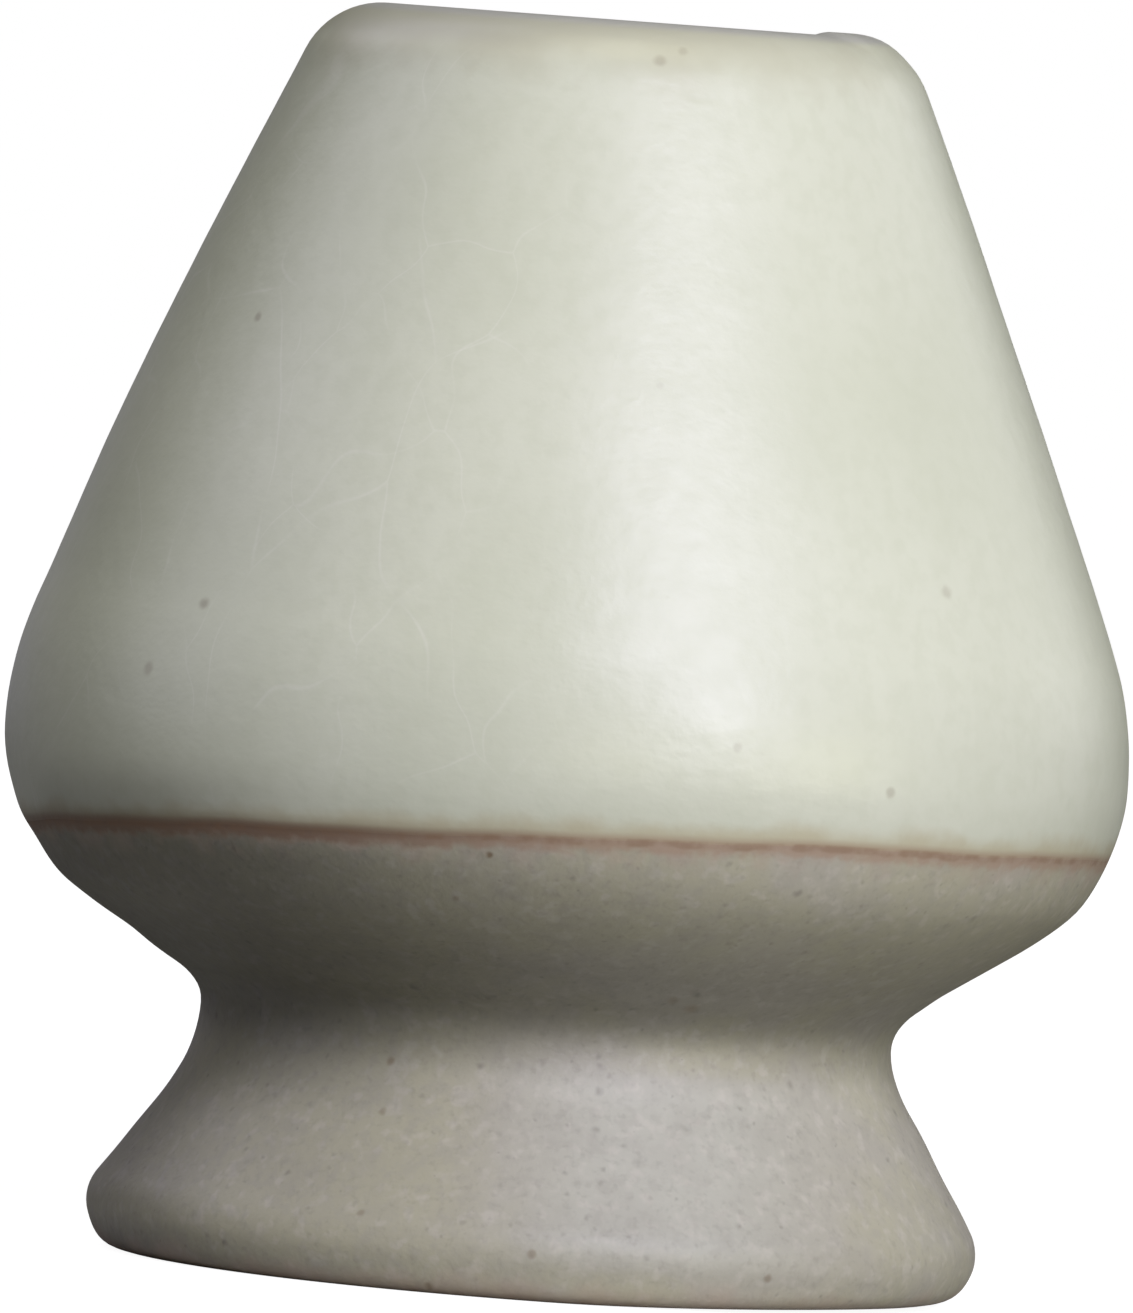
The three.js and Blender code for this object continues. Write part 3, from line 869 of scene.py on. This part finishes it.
class HOLDER_OT_iron_lines(bpy.types.Operator):
    """Burn the thin brown edge where the glaze runs out, outside and inside"""

    bl_idname = "holder.iron_lines"
    bl_label = "Iron lines"

    def execute(self, context):
        shape, glaze, hand, colours = settings()
        made = Surfaces(shape, glaze, hand)
        material = burnt_iron(colours)
        lines = (("iron_edge_outside", "outer_iron_line", 1), ("iron_edge_inside", "inner_iron_line", 3))
        for name, node, stretch in lines:
            first, last = made.starts[stretch:stretch + 2]
            add_skin(made, first, last, name=name, material=material, node=node, slot="burnt_iron_glaze")
        return {"FINISHED"}


def add_soft_box(stage, name, tint, azimuth, elevation, width, height, power):
    """An area light that looks at the holder's middle. Azimuth 0 is in front, at -Y, and 90 is on the right,
    at +X, both in degrees."""
    data = bpy.data.lights.new(name, "AREA")
    data.shape = "RECTANGLE"
    data.size, data.size_y = width, height
    data.color = linear(tint)[:3]
    data.energy = power * stage.brightness
    light = bpy.data.objects.new(name, data)
    turn, lift = math.radians(azimuth), math.radians(elevation)
    way = Vector((math.sin(turn) * math.cos(lift), -math.cos(turn) * math.cos(lift), math.sin(lift)))
    light.location = way * stage.light_distance + Vector((0, 0, CAD_HIGH.z / 2))
    light.rotation_euler = way.to_track_quat("Z", "Y").to_euler()
    bpy.context.scene.collection.objects.link(light)
    return light


def add_camera(stage):
    """Looks along +Y from the lip's own height down at the middle of the holder, rolled so that the holder
    leans. The lens is the sensor times the distance over the height that the picture takes in."""
    data = bpy.data.cameras.new("camera")
    camera = bpy.data.objects.new("camera", data)
    bpy.context.scene.collection.objects.link(camera)
    camera.location = (stage.aim_side, -stage.camera_distance, stage.camera_height)
    aim = Vector((stage.aim_side, 0, stage.aim_height))
    towards = aim - camera.location
    facing = towards.to_track_quat("-Z", "Y").to_matrix().to_4x4()
    roll = Matrix.Rotation(stage.camera_roll, 4, "Z")
    camera.matrix_world = Matrix.Translation(camera.location) @ facing @ roll
    data.sensor_width = SENSOR_WIDTH
    data.lens = data.sensor_width * towards.length / stage.framed_height
    data.clip_start, data.clip_end = 0.01, 50
    bpy.context.scene.camera = camera


def add_floor(stage):
    """A card that the holder stands on, and a darker table beyond it, as they light the holder. The camera
    sees them glow white, as paper lit from all sides would."""
    mesh = bpy.data.meshes.new("floor")
    reach = FLOOR_REACH
    corners = [(-reach, -reach, 0), (reach, -reach, 0), (reach, reach, 0), (-reach, reach, 0)]
    mesh.from_pydata(corners, [], [(0, 1, 2, 3)])
    floor = bpy.data.objects.new("floor", mesh)
    bpy.context.scene.collection.objects.link(floor)
    material = bpy.data.materials.new("white_card")
    material.use_nodes = True
    tree = material.node_tree
    tree.nodes.clear()
    seen = add(tree, "LightPath", out="Is Camera Ray")
    place = add(tree, "TexCoord", out="Object")
    away = add(tree, "VectorMath", {0: place, "Scale": 1 / MM}, operation="SCALE")
    away = add(tree, "VectorMath", {0: away}, out="Value", operation="LENGTH")
    colour = coats(tree, stage.card, [(stage.table, fade(tree, away, *CARD_EDGE))])
    card = add(tree, "BsdfDiffuse", {"Color": colour})
    strength = add(tree, "MapRange", {"Value": away, **WHITE})
    glow = add(tree, "Emission", {"Color": (1, 1, 1, 1), "Strength": strength})
    bright = add(tree, "AddShader", {0: glow, 1: card})
    add(tree, "OutputMaterial", {"Surface": add(tree, "MixShader", {0: seen, 1: card, 2: bright})})
    mesh.materials.append(material)


def add_room():
    """A room that is white where the camera sees it and lights nothing."""
    world = bpy.data.worlds.new("room")
    world.use_nodes = True
    tree = world.node_tree
    tree.nodes.clear()
    seen = add(tree, "LightPath", out="Is Camera Ray")
    room = add(tree, "Background", {"Color": (1, 1, 1, 1), "Strength": seen})
    add(tree, "OutputWorld", {"Surface": room})
    bpy.context.scene.world = world


class HOLDER_OT_stage(bpy.types.Operator):
    """Set the pale floor, the soft lights and the camera"""

    bl_idname = "holder.stage"
    bl_label = "Stage"

    def execute(self, context):
        stage = context.scene.whisk_holder_stage
        for box in SOFT_BOXES:
            add_soft_box(stage, *box)
        rear_fill = add_soft_box(stage, *REAR_FILL)
        # Its reflection would rim the outline in the photograph's view.
        rear_fill.visible_glossy = False
        add_floor(stage)
        add_room()
        context.scene.view_settings.view_transform = "Standard"
        add_camera(stage)
        return {"FINISHED"}


class HOLDER_PT_panel(bpy.types.Panel):
    """Buttons for every piece, above the sizes and colours they are made from"""

    bl_label = "Whisk holder"
    bl_idname = "HOLDER_PT_panel"
    bl_space_type = "VIEW_3D"
    bl_region_type = "UI"
    bl_category = "Whisk holder"

    def draw(self, context):
        layout = self.layout
        for operator in OPERATORS:
            layout.operator(operator.bl_idname)
        for group in (*settings(), context.scene.whisk_holder_stage):
            box = layout.box()
            for name in group.bl_rna.properties.keys():
                if name not in ("rna_type", "name"):
                    box.prop(group, name)


OPERATORS = (HOLDER_OT_clay_body, HOLDER_OT_celadon_glaze, HOLDER_OT_iron_lines, HOLDER_OT_stage)
GROUPS = {
    "whisk_holder_shape": HolderShape,
    "whisk_holder_glaze": HolderGlaze,
    "whisk_holder_hand": HolderHand,
    "whisk_holder_colours": HolderColours,
    "whisk_holder_stage": HolderStage,
}


def register():
    for cls in (*GROUPS.values(), *OPERATORS, HOLDER_PT_panel):
        bpy.utils.register_class(cls)
    for name, group in GROUPS.items():
        setattr(bpy.types.Scene, name, bpy.props.PointerProperty(type=group))


def unregister():
    for name in GROUPS:
        delattr(bpy.types.Scene, name)
    for cls in (HOLDER_PT_panel, *OPERATORS, *GROUPS.values()):
        bpy.utils.unregister_class(cls)


def main():
    """Builds every piece in order."""
    register()
    bpy.ops.holder.clay_body()
    bpy.ops.holder.celadon_glaze()
    bpy.ops.holder.iron_lines()
    bpy.ops.holder.stage()


if __name__ == "__main__":
    main()
